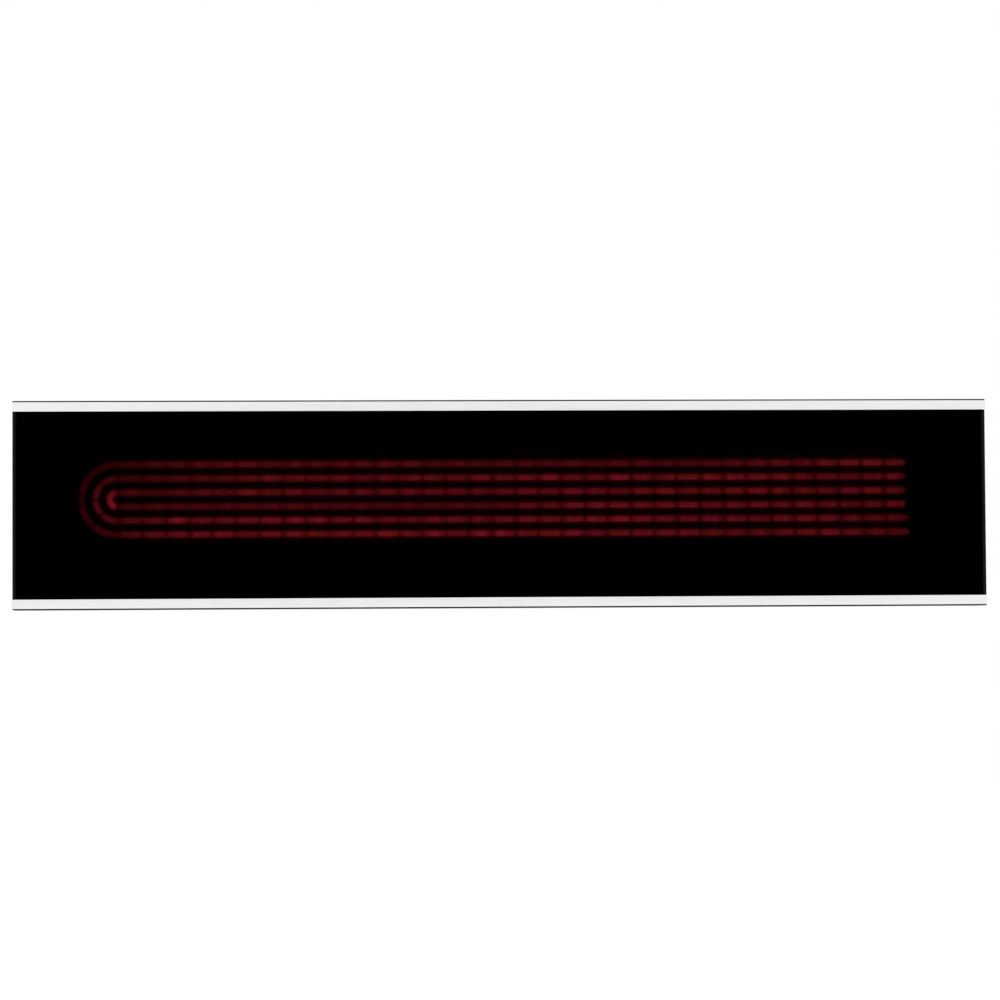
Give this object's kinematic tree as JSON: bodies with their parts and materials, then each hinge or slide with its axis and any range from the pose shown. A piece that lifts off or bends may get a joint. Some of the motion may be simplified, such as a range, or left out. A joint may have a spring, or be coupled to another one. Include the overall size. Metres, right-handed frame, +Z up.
{
  "type": "wall-mounted infrared strip heater",
  "caption": "Long shallow radiant heater with a black glass front, bright trims, glowing coils behind the glass and two tilting wall brackets.",
  "frame": {"origin": "centre of the four wall bolts, in the plane of the wall", "axes": "+X along the heater, to the right as seen from the front; +Y into the wall, so the glass faces -Y; +Z up"},
  "size_m": [0.99, 0.173, 0.211],
  "materials": {
    "glass_ceramic": "polished black glass-ceramic",
    "silicone": "black silicone rubber",
    "bright_aluminium": "polished and clear anodised",
    "black_paint": "satin black powder coat",
    "cast_aluminium": "satin black powder coat",
    "bracket_steel": "bright zinc plate",
    "screw_steel": "zinc plate",
    "black_screws": "black oxide",
    "heating_wire": "oxidised iron-chromium-aluminium wire, glowing",
    "bar_ceramic": "matte",
    "insulating_board": "dark grey microporous insulating board, matte",
    "aluminised_steel": "aluminised, satin",
    "pin_alloy": "heat-resisting alloy",
    "steatite": "steatite",
    "brass": "satin",
    "nickel_plate": "nickel plate",
    "phenolic": "moulded phenolic",
    "white_lead": "fibreglass-braided sleeve",
    "earth_lead": "fibreglass-braided sleeve, green",
    "polyamide": "moulded polyamide"
  },
  "bodies": {
    "wall_mount": {"wall_bracket_left": "bracket_steel", "wall_bracket_right": "bracket_steel", "pivot_bolts": "screw_steel", "pivot_nuts": "screw_steel", "pivot_washers": "screw_steel"},
    "heater": {"glass_front": "glass_ceramic", "glass_gasket_top": "silicone", "glass_gasket_bottom": "silicone", "top_trim": "bright_aluminium", "bottom_trim": "bright_aluminium", "trim_screws": "screw_steel", "rear_casing": "black_paint", "right_end_cap": "cast_aluminium", "left_end_cap": "cast_aluminium", "end_cap_screws": "black_screws", "outer_coil": "heating_wire", "middle_coil": "heating_wire", "inner_coil": "heating_wire", "coil_hold_down_bars": "bar_ceramic", "insulation_board": "insulating_board", "insulation_rim": "insulating_board", "element_pan": "aluminised_steel", "coil_pins": "pin_alloy", "pin_beads": "steatite", "link_bars": "nickel_plate", "ring_terminals": "nickel_plate", "pin_nuts": "nickel_plate", "element_carriers": "aluminised_steel", "carrier_screws": "screw_steel", "leaf_springs": "pin_alloy", "heat_shield": "aluminised_steel", "shield_screws": "screw_steel", "over_temperature_cutout": "phenolic", "cutout_blades": "brass", "terminal_block": "steatite", "terminal_inserts": "brass", "terminal_clamp_screws": "screw_steel", "terminal_block_screws": "screw_steel", "lead_live_in": "white_lead", "lead_live_out": "white_lead", "lead_neutral": "white_lead", "lead_earth": "earth_lead", "earth_stud": "brass", "wire_grommet": "silicone", "terminal_cover": "black_paint", "cover_gasket": "silicone", "cover_screws": "black_screws", "gland_body": "polyamide", "gland_locknut": "polyamide", "gland_seal": "silicone", "gland_dome_nut": "polyamide", "backing_plates": "screw_steel", "tilt_arm_right": "bracket_steel", "tilt_arm_left": "bracket_steel", "tilt_arm_screws": "screw_steel", "pivot_spacers": "screw_steel", "lock_bolts": "screw_steel", "lock_nuts": "screw_steel", "lock_washers": "screw_steel", "lock_spacers": "screw_steel"}
  },
  "joints": [
    {"name": "heater_tilt", "type": "hinge", "parent": "wall_mount", "child": "heater", "pos_m": [0, -0.06, 0], "axis": [1, 0, 0], "range_deg": [0, 45]}
  ]
}
